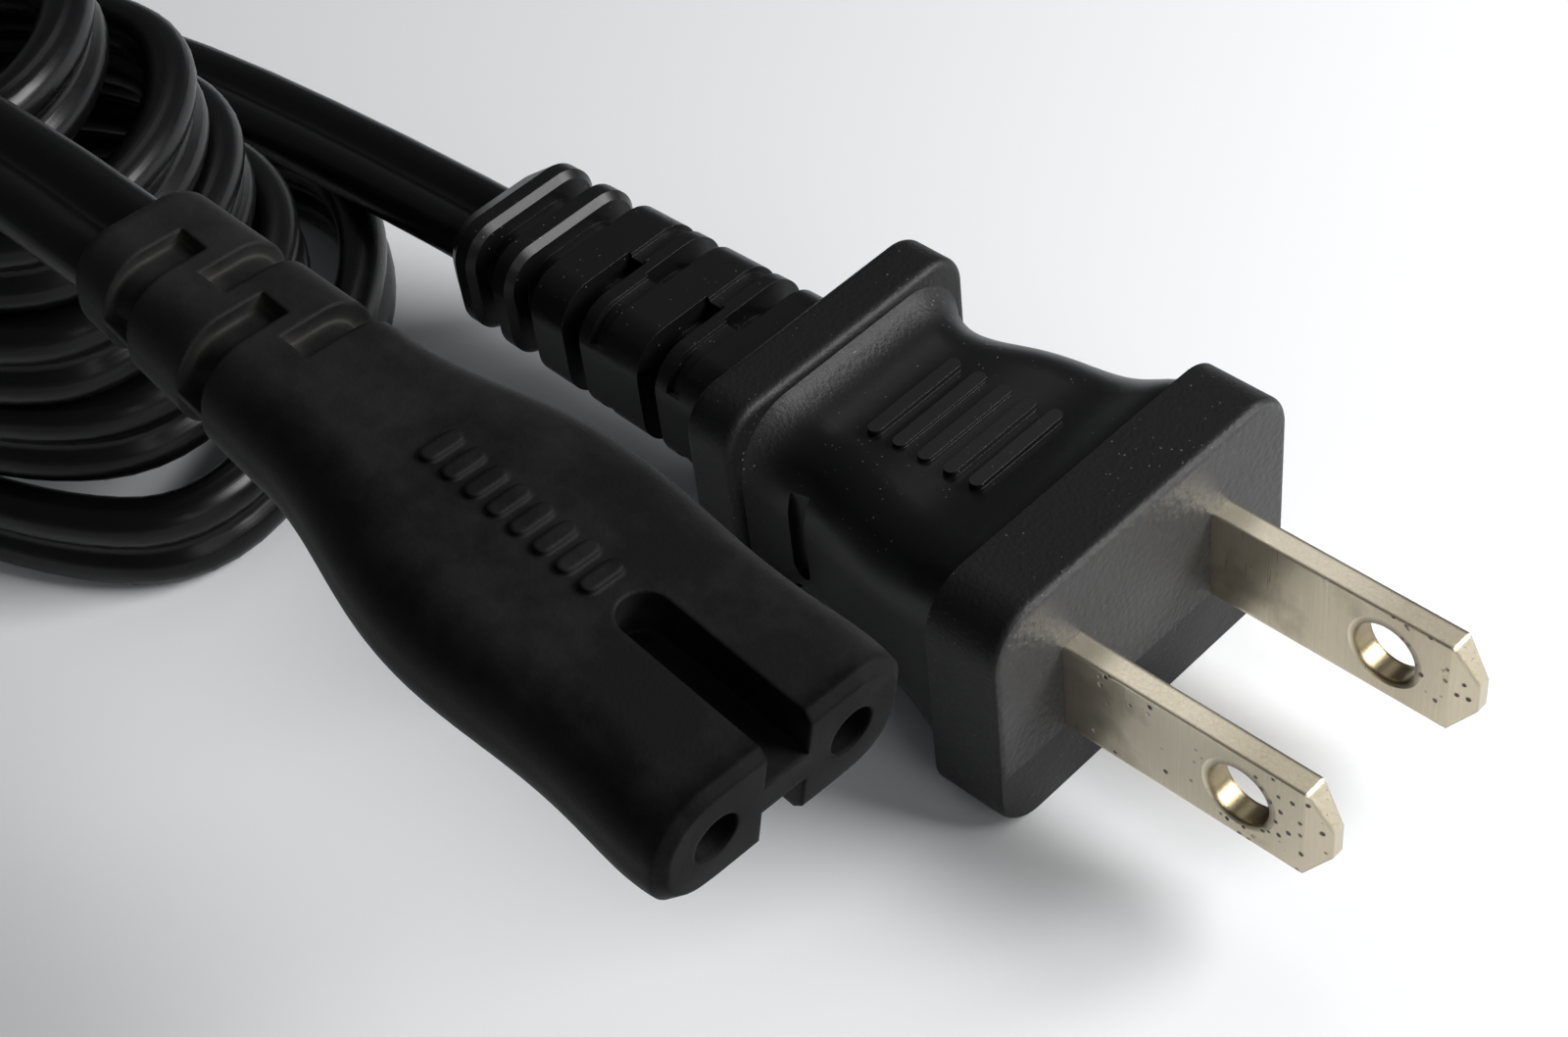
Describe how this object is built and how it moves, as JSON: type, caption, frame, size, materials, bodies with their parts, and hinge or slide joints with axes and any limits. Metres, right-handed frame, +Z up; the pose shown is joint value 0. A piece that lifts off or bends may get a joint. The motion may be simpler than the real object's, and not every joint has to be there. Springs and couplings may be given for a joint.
{
  "type": "mains power cord",
  "caption": "Mains lead with a flat two-blade plug, flat twin flex in a tied hank and a figure-eight appliance connector, both moulded on with slotted strain reliefs.",
  "frame": {"origin": "on the surface that the plug lies on, under the middle of the plug with its blades", "axes": "+X the way the blades point, +Y from the left blade to the right one, +Z up from the plug's broad side"},
  "size_m": [0.1848, 0.0969, 0.0382],
  "materials": {
    "moulding": "soft black PVC, fine grain on the rims, satin on the grip",
    "flex": "extruded black PVC, satin, with fine draw lines",
    "carrier": "hard off-white plastic",
    "blade": "nickel-plated brass, dull, with small stains",
    "contact": "tinned brass spring tube",
    "copper": "bare copper strands",
    "core_white": "white PVC core insulation",
    "core_black": "black PVC core insulation",
    "tie": "black flat tie band"
  },
  "bodies": {
    "root": {"plug_body": "moulding", "plug_carrier": "carrier", "blade_left": "blade", "blade_right": "blade", "plug_strands_left": "copper", "plug_strands_right": "copper", "plug_core_left": "core_white", "plug_core_right": "core_black", "plug_lead": "flex", "socket_body": "moulding", "socket_carrier": "carrier", "contact_left": "contact", "contact_right": "contact", "socket_strands_left": "copper", "socket_strands_right": "copper", "socket_core_left": "core_white", "socket_core_right": "core_black", "socket_lead": "flex", "cord_hank": "flex", "cord_tie": "tie"}
  },
  "joints": []
}
